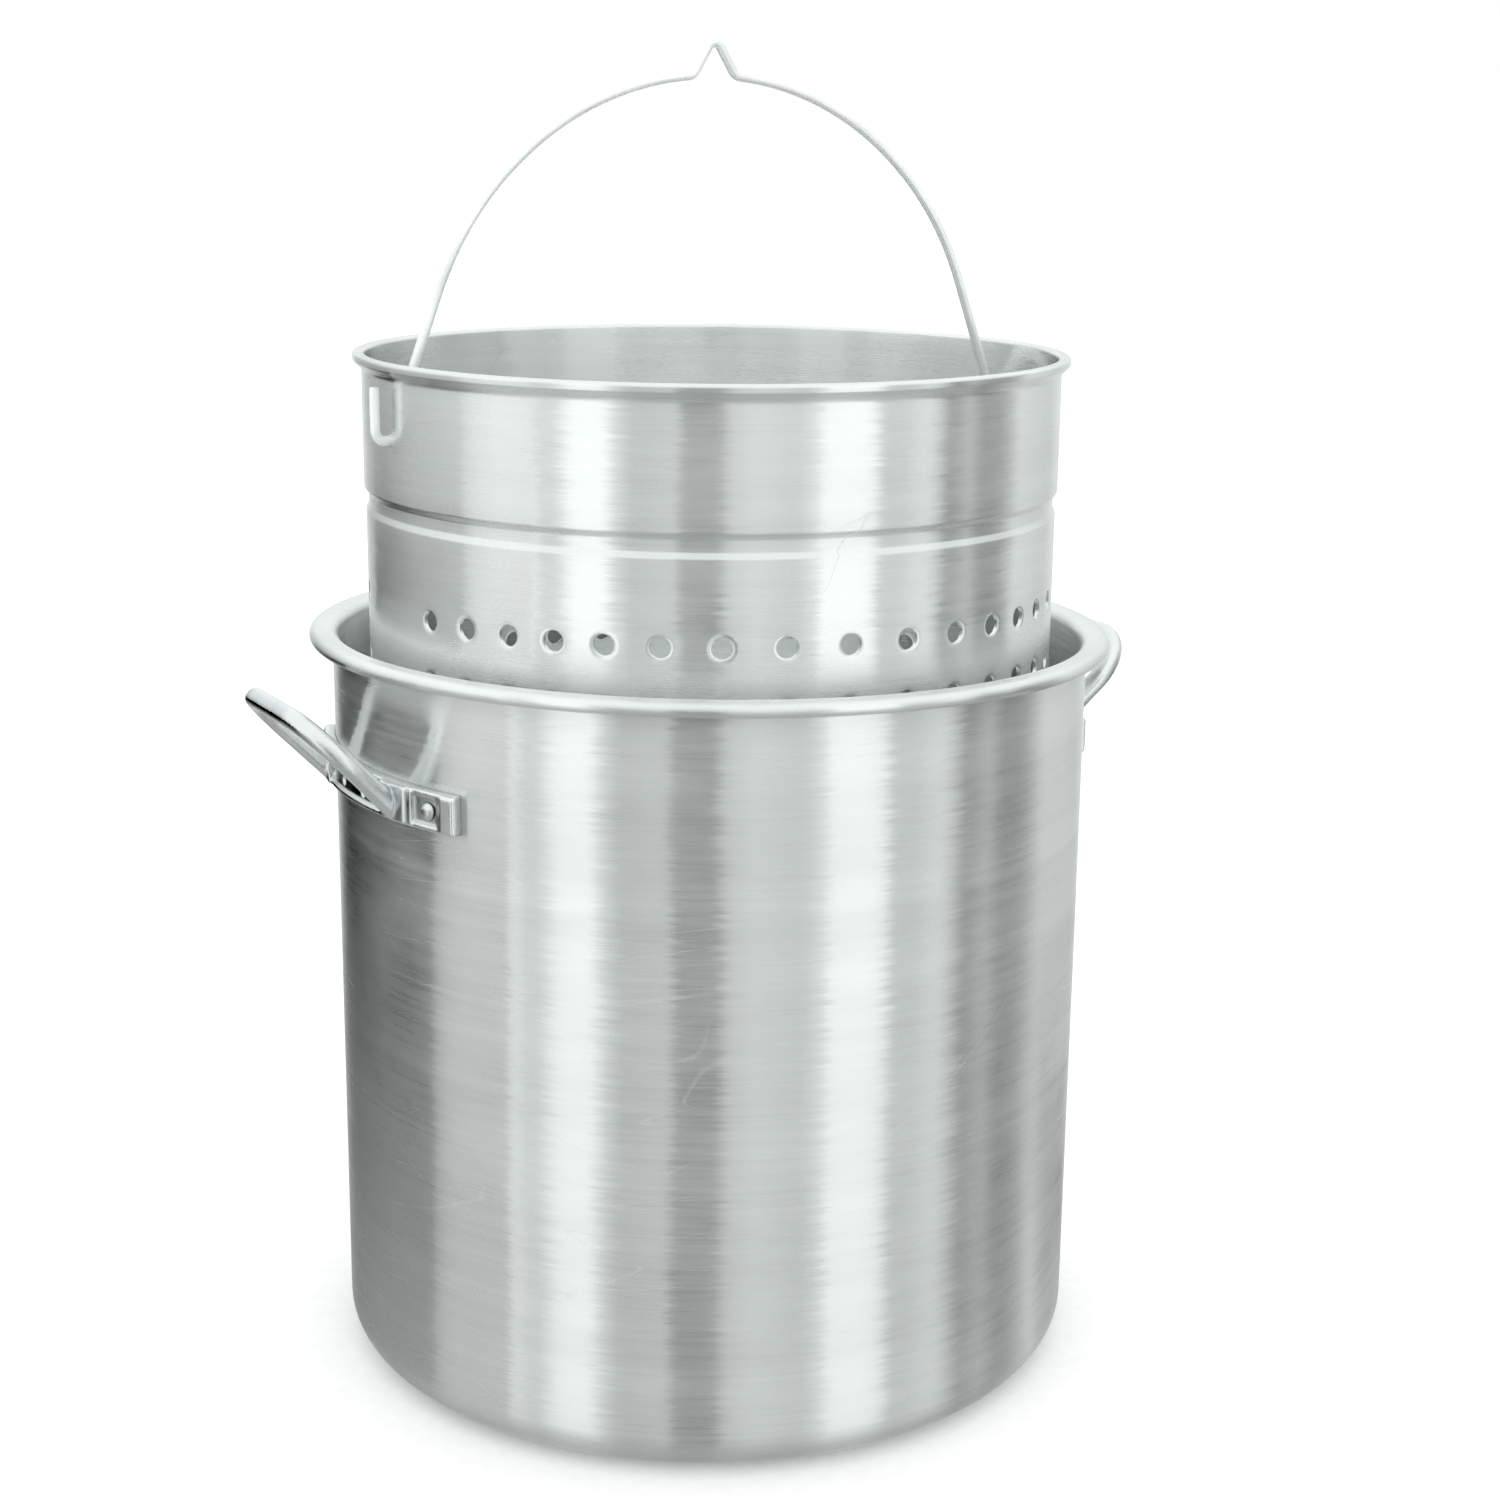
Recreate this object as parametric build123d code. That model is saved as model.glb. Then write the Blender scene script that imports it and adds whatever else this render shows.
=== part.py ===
from build123d import *
import os
from math import asin, atan2, acos, cos, degrees, hypot, pi, radians, sin

# Millimetres. The origin is the centre of the pot's underside, +Z is up, and the
# handles and the bail's hinge axis lie along X. The basket is drawn lifted.

# Pot: a straight-sided shell with a heavy rolled bead round its mouth.
POT_RADIUS = 212.0
POT_HEIGHT = 418.0
POT_WALL = 3.0
POT_FLOOR = 4.0
POT_CORNER = 21.0
BEAD_RADIUS = 224.7
BEAD_HEIGHT = 9.0
BEAD_FLARE = 16.0
BEAD_FLARE_BEND = 6.0
BEAD_NECK_BEND = 3.0
BEAD_UNDER_BEND = 3.6
BEAD_OVER_BEND = 4.0
MOUTH_BEND = 2.6

# Strainer basket: a perforated shell that hangs from a wire bail.
BASKET_RADIUS = 192.4
BASKET_LOWER_RADIUS = 191.5
BASKET_WALL = 2.0
BASKET_FLOOR = 2.5
BASKET_CORNER = 18.0
BASKET_TOP = 570.7
BASKET_HEIGHT = 387.0
BASKET_LIP_RADIUS = 197.4
BASKET_LIP_HEIGHT = 4.2
BASKET_LIP_FLARE = 8.6
LIP_NECK_BEND = 4.0
LIP_UNDER_BEND = 1.2
LIP_OVER_BEND = 1.6
LIP_INNER_BEND = 1.8
GROOVE_TOP = 498.0
GROOVE_HEIGHT = 12.7
GROOVE_DEPTH = 2.4
GROOVE_EDGE_BEND = 3.0
GROOVE_WAIST_BEND = 2.0

# Strainer holes: rows round the wall on a pitch that drifts a little four times a turn
# and stop short of the two hinges, and rings across the floor.
HOLE_DIAMETER = 11.1
HOLES_PER_ROW = 40
HINGE_GAP_ANGLE = 10.0
HOLE_PHASE = 1.45
HOLE_DRIFT = 1.65
HOLE_DRIFT_CYCLES = 4
HOLE_DRIFT_LAG = 10.7
FIRST_ROW_Z = 441.0
ROW_PITCH = 32.0
ROW_COUNT = 8
FLOOR_RING_PITCH = 28.0
FLOOR_RING_COUNT = 5
HOLES_PER_RING_STEP = 6

# Bail: one length of wire, notched at its crown and hooked through the wall.
WIRE_DIAMETER = 5.3
HINGE_Z = 530.0
HINGE_HOLE_DIAMETER = 7.6
BAIL_RADIUS = 174.0
BAIL_CENTRE_Z = 543.8
BAIL_LEG_X = 184.8
BAIL_LEG_TOP_Z = 547.0
BAIL_LEG_BEND = 12.0
HOOK_X = 199.0
HOOK_TOP_Z = 558.0
HOOK_BEND = 5.3
NOTCH_HALF_WIDTH = 13.0
NOTCH_PEAK_Z = 738.6
NOTCH_PEAK_BEND = 4.5
NOTCH_FOOT_BEND = 6.0

# Pot handles: a cast strip on the wall that carries a raised loop.
STRIP_LOW_Z = 339.2
STRIP_HIGH_Z = 360.4
STRIP_THICKNESS = 6.4
STRIP_HALF_ANGLE = 24.9
STRIP_EDGE = 1.2
SEAT_GAP = 0.05
LOOP_ROOT_HALF_WIDTH = 43.0
LOOP_HALF_WIDTH = 58.0
LOOP_REACH = 68.5
LOOP_CORNER = 27.0
LOOP_TILT = 46.5
LOOP_ROOT_Z = 344.0
LOOP_ROOT_RADIUS = 215.0
LOOP_ROOT_SINK = 1.5
BAR_WIDTH = 12.0
BAR_THICKNESS = 10.5
BAR_ROUNDING = 4.4
RIB_ANGLES = (16.0, 23.6)
RIB_WIDTH = 4.0
RIB_STAND = 1.6
RECESS_ANGLES = (3.7, 9.0)
RECESS_DIAMETER = 4.6
RECESS_DEPTH = 2.2
RECESS_DROP = 2.0

# Handle rivets: a shank between a small outer head and a flatter inner head.
RIVET_ANGLE = 20.0
RIVET_Z = 350.0
RIVET_SHANK_DIAMETER = 5.0
RIVET_HOLE_DIAMETER = 5.1
RIVET_HEAD_DIAMETER = 8.4
RIVET_HEAD_HEIGHT = 2.6
RIVET_INNER_DIAMETER = 10.0
RIVET_INNER_HEIGHT = 2.2
HEAD_GAP = 0.05


def turned(corners):
    """Revolve a closed outline of (radius, height, bend) corners about Z."""
    points = [(radius, 0, height) for radius, height, bend in corners]
    bends = [bend for radius, height, bend in corners]
    outline = FilletPolyline(*points, radius=bends, close=True)
    return revolve(make_face(outline), Axis.Z)


def radial_plane(angle, radius, z):
    """A plane at an angle round Z that faces outwards from the axis."""
    turn = radians(angle)
    out = Vector(cos(turn), sin(turn), 0)
    return Plane(origin=out * radius + Vector(0, 0, z), x_dir=(-sin(turn), cos(turn), 0), z_dir=out)


def radial_drill(angle, z, diameter, start, end):
    """A round cutter that runs outwards from one radius to another."""
    length = end - start
    cutter = Cylinder(diameter / 2, length, align=(Align.CENTER, Align.CENTER, Align.MIN))
    return radial_plane(angle, start, z) * cutter


def rivet_sites(handle_angle):
    """The two angles at which one handle is riveted."""
    return (handle_angle - RIVET_ANGLE, handle_angle + RIVET_ANGLE)


def pot_body():
    inner = POT_RADIUS - POT_WALL
    bead_low = POT_HEIGHT - BEAD_HEIGHT
    corners = [
        (0, 0, 0),
        (POT_RADIUS, 0, POT_CORNER),
        (POT_RADIUS, POT_HEIGHT - BEAD_FLARE, BEAD_FLARE_BEND),
        (POT_RADIUS + POT_WALL, bead_low, BEAD_NECK_BEND),
        (BEAD_RADIUS, bead_low, BEAD_UNDER_BEND),
        (BEAD_RADIUS, POT_HEIGHT, BEAD_OVER_BEND),
        (inner, POT_HEIGHT, MOUTH_BEND),
        (inner, POT_FLOOR, POT_CORNER - POT_WALL),
        (0, POT_FLOOR, 0),
    ]
    shell = turned(corners)
    drills = []
    for handle_angle in (0, 180):
        for angle in rivet_sites(handle_angle):
            start = inner - POT_WALL
            drills.append(radial_drill(angle, RIVET_Z, RIVET_HOLE_DIAMETER, start, POT_RADIUS + POT_WALL))
    return shell - drills


def basket_shell():
    """The turned wall, ring groove, lip and floor of the basket."""
    floor_z = BASKET_TOP - BASKET_HEIGHT
    groove_low = GROOVE_TOP - GROOVE_HEIGHT
    ramp = GROOVE_HEIGHT / 4
    waist = BASKET_RADIUS - GROOVE_DEPTH
    wall = BASKET_WALL
    corners = [
        (0, floor_z, 0),
        (BASKET_LOWER_RADIUS, floor_z, BASKET_CORNER),
        (BASKET_LOWER_RADIUS, groove_low, GROOVE_EDGE_BEND),
        (waist, groove_low + ramp, GROOVE_WAIST_BEND),
        (waist, GROOVE_TOP - ramp, GROOVE_WAIST_BEND),
        (BASKET_RADIUS, GROOVE_TOP, GROOVE_EDGE_BEND),
        (BASKET_RADIUS, BASKET_TOP - BASKET_LIP_FLARE, LIP_NECK_BEND),
        (BASKET_LIP_RADIUS, BASKET_TOP - BASKET_LIP_HEIGHT, LIP_UNDER_BEND),
        (BASKET_LIP_RADIUS, BASKET_TOP, LIP_OVER_BEND),
        (BASKET_RADIUS - wall, BASKET_TOP, LIP_INNER_BEND),
        (BASKET_RADIUS - wall, GROOVE_TOP, GROOVE_EDGE_BEND),
        (waist - wall, GROOVE_TOP - ramp, GROOVE_WAIST_BEND),
        (waist - wall, groove_low + ramp, GROOVE_WAIST_BEND),
        (BASKET_LOWER_RADIUS - wall, groove_low, GROOVE_EDGE_BEND),
        (BASKET_LOWER_RADIUS - wall, floor_z + BASKET_FLOOR, BASKET_CORNER - wall),
        (0, floor_z + BASKET_FLOOR, 0),
    ]
    return turned(corners)


def hole_angle(step):
    """Angle of one hole of a row: even steps plus the small drift."""
    even = step * 360 / HOLES_PER_ROW
    lag = radians(HOLE_DRIFT_CYCLES * (even - HOLE_DRIFT_LAG))
    return HOLE_PHASE + even + HOLE_DRIFT * cos(lag)


def wall_drills():
    """Cutters for the strainer rows."""
    start = BASKET_LOWER_RADIUS - 3 * BASKET_WALL
    end = BASKET_LOWER_RADIUS + 2 * BASKET_WALL
    cutters = []
    for row in range(ROW_COUNT):
        z = FIRST_ROW_Z - row * ROW_PITCH
        for step in range(HOLES_PER_ROW):
            angle = hole_angle(step)
            from_hinge = (angle + 90) % 180 - 90
            if abs(from_hinge) >= HINGE_GAP_ANGLE:
                cutters.append(radial_drill(angle, z, HOLE_DIAMETER, start, end))
    return cutters


def floor_drills():
    """Cutters for one centre hole and the rings of holes round it."""
    floor_z = BASKET_TOP - BASKET_HEIGHT
    cutter = Cylinder(HOLE_DIAMETER / 2, 3 * BASKET_FLOOR)
    centre_z = floor_z + BASKET_FLOOR / 2
    cutters = [Pos(0, 0, centre_z) * cutter]
    for ring in range(1, FLOOR_RING_COUNT + 1):
        radius = ring * FLOOR_RING_PITCH
        count = ring * HOLES_PER_RING_STEP
        for step in range(count):
            turn = 2 * pi * step / count
            cutters.append(Pos(radius * cos(turn), radius * sin(turn), centre_z) * cutter)
    return cutters


def basket():
    start = BASKET_RADIUS - 4 * BASKET_WALL
    end = BASKET_RADIUS + 2 * BASKET_WALL
    hinges = [radial_drill(angle, HINGE_Z, HINGE_HOLE_DIAMETER, start, end) for angle in (0, 180)]
    return basket_shell() - (wall_drills() + floor_drills() + hinges)


def bail_half():
    """Points and bends of the wire on +X, from its crown to its hooked end."""
    rise = BAIL_LEG_TOP_Z - BAIL_CENTRE_Z
    reach = hypot(BAIL_LEG_X, rise)
    leave = atan2(rise, BAIL_LEG_X) + acos(BAIL_RADIUS / reach)
    arrive = acos(NOTCH_HALF_WIDTH / BAIL_RADIUS)
    middle = (leave + arrive) / 2

    def on_curve(turn):
        return (BAIL_RADIUS * cos(turn), 0, BAIL_CENTRE_Z + BAIL_RADIUS * sin(turn))

    curve = ThreePointArc(on_curve(arrive), on_curve(middle), on_curve(leave))
    leg_points = [
        on_curve(leave),
        (BAIL_LEG_X, 0, BAIL_LEG_TOP_Z),
        (BAIL_LEG_X, 0, HINGE_Z),
        (HOOK_X, 0, HINGE_Z),
        (HOOK_X, 0, HOOK_TOP_Z),
    ]
    leg = FilletPolyline(*leg_points, radius=[BAIL_LEG_BEND, HOOK_BEND, HOOK_BEND])
    return curve, leg, on_curve(arrive)


def bail():
    curve, leg, foot = bail_half()
    peak = (0, 0, NOTCH_PEAK_Z)
    half = Wire([Line(peak, foot), *curve.edges(), *leg.edges()])
    foot_vertex = half.vertices().sort_by_distance(foot)[0]
    half = half.fillet_2d(NOTCH_FOOT_BEND, [foot_vertex])
    path = Wire([*half.edges(), *mirror(half, Plane.YZ).edges()])
    peak_vertex = path.vertices().sort_by_distance(peak)[0]
    path = path.fillet_2d(NOTCH_PEAK_BEND, [peak_vertex])
    start = path @ 0
    section = Plane(origin=start, z_dir=path % 0) * Circle(WIRE_DIAMETER / 2)
    return sweep(section, path=path, transition=Transition.RIGHT)


def strip():
    """The curved band of one casting, centred on +X, with eased edges."""
    inner = POT_RADIUS + SEAT_GAP
    outer = inner + STRIP_THICKNESS
    corners = [(inner, STRIP_LOW_Z), (outer, STRIP_LOW_Z), (outer, STRIP_HIGH_Z), (inner, STRIP_HIGH_Z)]
    points = [(radius, 0, height) for radius, height in corners]
    outline = FilletPolyline(*points, radius=[0, STRIP_EDGE, STRIP_EDGE, 0], close=True)
    band = revolve(make_face(outline), Axis.Z, 2 * STRIP_HALF_ANGLE)
    return Rot(0, 0, -STRIP_HALF_ANGLE) * band


def loop():
    """The grip: a squared U of bar that climbs and spreads outwards from the strip."""
    root_x = (LOOP_ROOT_RADIUS**2 - LOOP_ROOT_HALF_WIDTH**2) ** 0.5
    slope = radians(LOOP_TILT)
    along = Vector(cos(slope), 0, sin(slope))
    across = Vector(0, 1, 0)
    root = Vector(root_x, 0, LOOP_ROOT_Z)
    stops = [
        (-LOOP_ROOT_HALF_WIDTH, -LOOP_ROOT_SINK),
        (-LOOP_HALF_WIDTH, LOOP_REACH),
        (LOOP_HALF_WIDTH, LOOP_REACH),
        (LOOP_ROOT_HALF_WIDTH, -LOOP_ROOT_SINK),
    ]
    points = [root + across * side + along * reach for side, reach in stops]
    path = FilletPolyline(*points, radius=LOOP_CORNER)
    heading = path % 0
    sideways = along.cross(across).cross(heading)
    section = Plane(origin=path @ 0, x_dir=sideways, z_dir=heading)
    return sweep(section * RectangleRounded(BAR_WIDTH, BAR_THICKNESS, BAR_ROUNDING), path=path)


def rib(angle):
    """A raised upright bar across the strip."""
    height = STRIP_HIGH_Z - STRIP_LOW_Z
    middle = (STRIP_HIGH_Z + STRIP_LOW_Z) / 2
    plane = radial_plane(angle, POT_RADIUS + STRIP_THICKNESS / 2, middle)
    reach = STRIP_THICKNESS / 2 + RIB_STAND
    block = Box(RIB_WIDTH, height - 2 * STRIP_EDGE, reach, align=(Align.CENTER, Align.CENTER, Align.MIN))
    face = block.faces().sort_by(Axis.Z)[-1]
    return plane * fillet(face.edges(), RIB_STAND / 2)


def handle():
    """One casting, centred on +X."""
    casting = strip() + loop()
    for angle in RIB_ANGLES:
        casting = casting + [rib(angle), rib(-angle)]
    seat = Cylinder(POT_RADIUS + SEAT_GAP, 2 * POT_HEIGHT)
    outer = POT_RADIUS + SEAT_GAP + STRIP_THICKNESS
    cutters = [seat]
    for angle in rivet_sites(0):
        cutters.append(radial_drill(angle, RIVET_Z, RIVET_HOLE_DIAMETER, POT_RADIUS - POT_WALL, 2 * outer))
    recess_z = (STRIP_LOW_Z + STRIP_HIGH_Z) / 2 - RECESS_DROP
    bottom = outer - RECESS_DEPTH
    clear = outer + RECESS_DEPTH
    for angle in RECESS_ANGLES:
        for side in (-1, 1):
            cutters.append(radial_drill(side * angle, recess_z, RECESS_DIAMETER, bottom, clear))
    return casting - cutters


def rivet(angle):
    """A closed rivet through one handle foot and the pot wall."""
    inner = POT_RADIUS - POT_WALL - HEAD_GAP
    outer = POT_RADIUS + SEAT_GAP + STRIP_THICKNESS + HEAD_GAP
    shank = radial_drill(angle, RIVET_Z, RIVET_SHANK_DIAMETER, inner, outer)
    outer_head = domed_head(RIVET_HEAD_DIAMETER, RIVET_HEAD_HEIGHT)
    inner_head = Rot(180, 0, 0) * domed_head(RIVET_INNER_DIAMETER, RIVET_INNER_HEIGHT)
    outer_head = radial_plane(angle, outer, RIVET_Z) * outer_head
    inner_head = radial_plane(angle, inner, RIVET_Z) * inner_head
    return shank + outer_head + inner_head


def domed_head(diameter, height):
    """A spherical cap that sits on the XY plane."""
    half = diameter / 2
    ball = (half**2 + height**2) / (2 * height)
    cap = Pos(0, 0, height - ball) * Sphere(ball)
    return cap & Cylinder(half, height, align=(Align.CENTER, Align.CENTER, Align.MIN))


def main():
    os.makedirs("parts", exist_ok=True)
    parts = {
        "kettle_pot": pot_body(),
        "right_handle": handle(),
        "left_handle": Rot(0, 0, 180) * handle(),
        "right_handle_rear_rivet": rivet(RIVET_ANGLE),
        "right_handle_front_rivet": rivet(-RIVET_ANGLE),
        "left_handle_rear_rivet": rivet(180 - RIVET_ANGLE),
        "left_handle_front_rivet": rivet(180 + RIVET_ANGLE),
        "strainer_basket": basket(),
        "bail_handle": bail(),
    }
    for name, solid in parts.items():
        solid.label = name
        export_step(solid, f"parts/{name}.step")


main()
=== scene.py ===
import math

import bmesh
import bpy
import numpy as np
from mathutils import Matrix, Vector
from mathutils.geometry import delaunay_2d_cdt


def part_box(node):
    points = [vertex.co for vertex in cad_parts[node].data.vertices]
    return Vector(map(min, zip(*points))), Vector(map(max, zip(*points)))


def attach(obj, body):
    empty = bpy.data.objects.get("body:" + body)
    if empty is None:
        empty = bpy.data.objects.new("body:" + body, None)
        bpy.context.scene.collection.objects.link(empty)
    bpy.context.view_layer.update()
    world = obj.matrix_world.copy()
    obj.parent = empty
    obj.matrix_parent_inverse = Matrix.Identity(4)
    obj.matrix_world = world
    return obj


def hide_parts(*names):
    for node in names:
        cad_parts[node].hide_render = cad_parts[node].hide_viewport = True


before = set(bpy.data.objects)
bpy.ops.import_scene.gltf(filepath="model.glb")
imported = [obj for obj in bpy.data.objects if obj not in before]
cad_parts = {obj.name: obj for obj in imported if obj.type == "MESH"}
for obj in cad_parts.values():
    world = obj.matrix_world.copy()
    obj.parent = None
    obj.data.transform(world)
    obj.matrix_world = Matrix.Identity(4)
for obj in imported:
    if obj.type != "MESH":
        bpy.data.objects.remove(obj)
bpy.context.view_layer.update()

MM = 0.001

# The frame gives the outer sizes; the wall sizes below complete them. Metres throughout.
POT_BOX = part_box("kettle_pot")
BEAD_RADIUS = POT_BOX[1].x
RIM_Z = POT_BOX[1].z
POT_RADIUS = BEAD_RADIUS - 12.7 * MM
POT_WALL = 3.0 * MM
POT_FLOOR = 4.0 * MM
POT_CORNER = 23.0 * MM
BEAD_HEIGHT = 7.8 * MM
BEAD_UNDER_BEND = 3.9 * MM
BEAD_OVER_BEND = 4.4 * MM
MOUTH_BEND = 6.0 * MM
NECK_DROP = 0.4 * MM
NECK_BEND = 2.2 * MM
POT_COLUMNS = 384
POT_RIPPLE = 0.07 * MM

# The rim stands a little higher on one side, and the wall leans with it.
RIM_LEAN = 3.2 * MM
RIM_LEAN_ANGLE = math.radians(-150)

BASKET_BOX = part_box("strainer_basket")
BASKET_LOW_Z = BASKET_BOX[0].z
BASKET_TOP_Z = BASKET_BOX[1].z
LIP_RADIUS = BASKET_BOX[1].x
BASKET_RADIUS = LIP_RADIUS - 5.0 * MM
BASKET_LOWER_RADIUS = BASKET_RADIUS - 0.9 * MM
BASKET_WALL = 2.0 * MM
BASKET_FLOOR = 2.5 * MM
BASKET_CORNER = 18.0 * MM
LIP_HEIGHT = 4.2 * MM
LIP_FLARE = 8.6 * MM
GROOVE_TOP_Z = BASKET_TOP_Z - 72.7 * MM
GROOVE_HEIGHT = 12.7 * MM
GROOVE_DEPTH = 2.4 * MM
GROOVE_EDGE_BEND = 2.4 * MM
GROOVE_WAIST_BEND = 2.0 * MM
LIP_SHRINK = 0.4 * MM
LIP_NECK_BEND = 4.0 * MM
LIP_UNDER_BEND = 1.2 * MM
LIP_OVER_BEND = 1.8 * MM
LIP_INNER_BEND = 2.2 * MM
BASKET_RIPPLE = 0.06 * MM

# Strainer holes: rows at an even pitch plus a small drift four times a turn, with none
# close to the two hinges, and rings across the floor. Phase, drift and lag in degrees.
HOLE_RADIUS = 5.55 * MM
HOLES_PER_ROW = 40
ROW_COUNT = 8
ROW_PITCH = 32.0 * MM
HINGE_GAP_ANGLE = math.radians(10)
FIRST_ROW_Z = BASKET_TOP_Z - 129.7 * MM
HOLE_PHASE = 1.45
HOLE_DRIFT = 1.65
HOLE_DRIFT_CYCLES = 4
HOLE_DRIFT_LAG = 10.7
SIDE_STEPS = 8
RING_PITCH = 28.0 * MM
RING_COUNT = 5
RING_STEP = 6
HOLE_POINTS = 24
HOLE_DIP = 0.45 * MM
HOLE_DIP_REACH = 0.7 * MM
HOLE_RING_GROWTH = (0.0, 0.2 * MM, 0.55 * MM, 1.2 * MM, 2.6 * MM)
PLAIN_RING_RADII = (1.0 * MM, 3.0 * MM, 5.5 * MM, 8.0 * MM)
INNER_DIP_SHARE = 0.6

# Bail wire.
BAIL_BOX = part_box("bail_handle")
WIRE_RADIUS = (BAIL_BOX[1].y - BAIL_BOX[0].y) / 2
HINGE_Z = BASKET_TOP_Z - 40.7 * MM
BAIL_RADIUS = 174.0 * MM
BAIL_CENTRE_Z = HINGE_Z + 13.8 * MM
BAIL_LEG_X = 184.8 * MM
BAIL_LEG_TOP_Z = HINGE_Z + 17.0 * MM
BAIL_LEG_BEND = 12.0 * MM
HOOK_X = BAIL_BOX[1].x - WIRE_RADIUS
HOOK_TOP_Z = HINGE_Z + 28.0 * MM
HOOK_BEND = 5.3 * MM
NOTCH_HALF_WIDTH = 13.0 * MM
NOTCH_PEAK_Z = HINGE_Z + 208.6 * MM
NOTCH_PEAK_BEND = 4.5 * MM
NOTCH_FOOT_BEND = 6.0 * MM
WIRE_SIDES = 24
WIRE_END_SETBACK = 0.25 * MM
WIRE_END_SHARES = (0.7, 0.93)

# Handles: a cast strip on the wall that carries a raised loop. Angles in degrees.
STRIP_LOW_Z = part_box("left_handle")[0].z
STRIP_HEIGHT = 21.2 * MM
STRIP_THICKNESS = 6.4 * MM
STRIP_HALF_ANGLE = 24.9
SEAT_GAP = 0.05 * MM
LOOP_ROOT_HALF_WIDTH = 43.0 * MM
LOOP_HALF_WIDTH = 58.0 * MM
LOOP_REACH = 68.5 * MM
LOOP_CORNER = 27.0 * MM
LOOP_TILT = 46.5
LOOP_ROOT_Z = STRIP_LOW_Z + 4.8 * MM
LOOP_ROOT_RADIUS = POT_RADIUS + 3.0 * MM
BAR_WIDTH = 12.0 * MM
BAR_THICKNESS = 10.5 * MM
BAR_POWER = 2 / 2.6
ROOT_SINK = 2.0 * MM
ROOT_SWELL_REACH = 12.0 * MM
ROOT_SWELL_OUT = 0.35
ROOT_SWELL_IN = 0.1
ROOT_SWELL_DOWN = 0.45
# The ribs on each half of the strip: centre, half width, and how far they stand out.
STRIP_RIBS = ((16.2, 0.6, 0.6 * MM), (23.6, 1.2, 0.5 * MM), (22.0, 0.3, -0.4 * MM), (12.6, 2.8, 1.6 * MM))
MARK_ANGLES = (3.7, 9.0)
MARK_Z = STRIP_LOW_Z + 8.8 * MM
MARK_REACH = 2.4 * MM * 1.3
MARK_DEPTH = 1.8 * MM
CASTING_VOXEL = 0.8 * MM

# Rivets.
RIVET_ANGLE = 20.0
RIVET_Z = STRIP_LOW_Z + 10.8 * MM
RIVET_HEAD_RADIUS = 4.4 * MM
RIVET_SHANK_RADIUS = 2.5 * MM
RIVET_INNER_RADIUS = 5.0 * MM
RIVET_COLUMNS = 40

# The camera stands this far round from the front, in degrees, and looks slightly down.
CAMERA_AZIMUTH = -28.7
CAMERA_DISTANCE = 6.593 * POT_RADIUS
CAMERA_HEIGHT = 3.2453 * POT_RADIUS
CAMERA_PITCH = 13.871
CAMERA_YAW = 0.946
CAMERA_ROLL = 0.605
CAMERA_LENS = 60.08
SENSOR_WIDTH = 36.0


# ---------------------------------------------------------------- outlines

def rounded_path(corners, closed=False, arc_step=math.radians(9)):
    """Points of a polyline of (x, y, radius) corners, each turned into an arc."""
    points = []
    count = len(corners)
    for index, (x, y, radius) in enumerate(corners):
        here = np.array([x, y])
        is_end = not closed and index in (0, count - 1)
        if radius <= 0 or is_end:
            points.append(here)
            continue
        before = np.array(corners[index - 1][:2]) - here
        after = np.array(corners[(index + 1) % count][:2]) - here
        before /= np.linalg.norm(before)
        after /= np.linalg.norm(after)
        half = math.acos(np.clip(before @ after, -1, 1)) / 2
        middle = (before + after) / np.linalg.norm(before + after)
        centre = here + middle * (radius / math.sin(half))
        start = here + before * (radius / math.tan(half))
        end = here + after * (radius / math.tan(half))
        first = math.atan2(*(start - centre)[::-1])
        sweep = math.atan2(*(end - centre)[::-1]) - first
        sweep = (sweep + math.pi) % (2 * math.pi) - math.pi
        steps = max(2, int(abs(sweep) / arc_step) + 1)
        for step in range(steps + 1):
            turn = first + sweep * step / steps
            points.append(centre + radius * np.array([math.cos(turn), math.sin(turn)]))
    return np.array(points)


def subdivided(points, longest, closed=False):
    """The same outline with extra points, so that no stretch is over the given length."""
    result = []
    count = len(points)
    for index in range(count if closed else count - 1):
        start = points[index]
        end = points[(index + 1) % count]
        pieces = max(1, math.ceil(np.linalg.norm(end - start) / longest))
        for piece in range(pieces):
            result.append(start + (end - start) * piece / pieces)
    if not closed:
        result.append(points[-1])
    return np.array(result)


# ---------------------------------------------------------------- meshes

# A face whose normal is this close to vertical counts as level.
LEVEL_NORMAL = 0.9999


def mesh_object(name, vertices, faces, sharp_angle=40.0, weld=1e-7):
    """A smooth-shaded object whose creases over sharp_angle stay crisp."""
    mesh = bpy.data.meshes.new(name)
    mesh.from_pydata([tuple(v) for v in vertices], [], faces)
    piece = bpy.data.objects.new(name, mesh)
    bpy.context.scene.collection.objects.link(piece)
    finish_mesh(piece, sharp_angle, weld)
    return piece


def finish_mesh(piece, sharp_angle, weld):
    """Weld, turn the faces outwards, and smooth all but sharp edges and level faces."""
    built = bmesh.new()
    built.from_mesh(piece.data)
    bmesh.ops.remove_doubles(built, verts=built.verts, dist=weld)
    bmesh.ops.recalc_face_normals(built, faces=built.faces)
    limit = math.radians(sharp_angle)
    for face in built.faces:
        face.smooth = abs(face.normal.z) < LEVEL_NORMAL
    for edge in built.edges:
        edge.smooth = not (edge.is_manifold and edge.calc_face_angle() > limit)
    built.to_mesh(piece.data)
    built.free()


def ripple(angle, height, size):
    """Small waves left by drawing and handling a thin shell."""
    slow = np.sin(3 * angle + 11 * height + 0.4) + 0.7 * np.sin(5 * angle - 17 * height + 2.1)
    quick = 0.35 * np.sin(9 * angle + 23 * height + 1.3) + 0.2 * np.sin(14 * angle - 31 * height)
    return size * (slow + quick)


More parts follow.
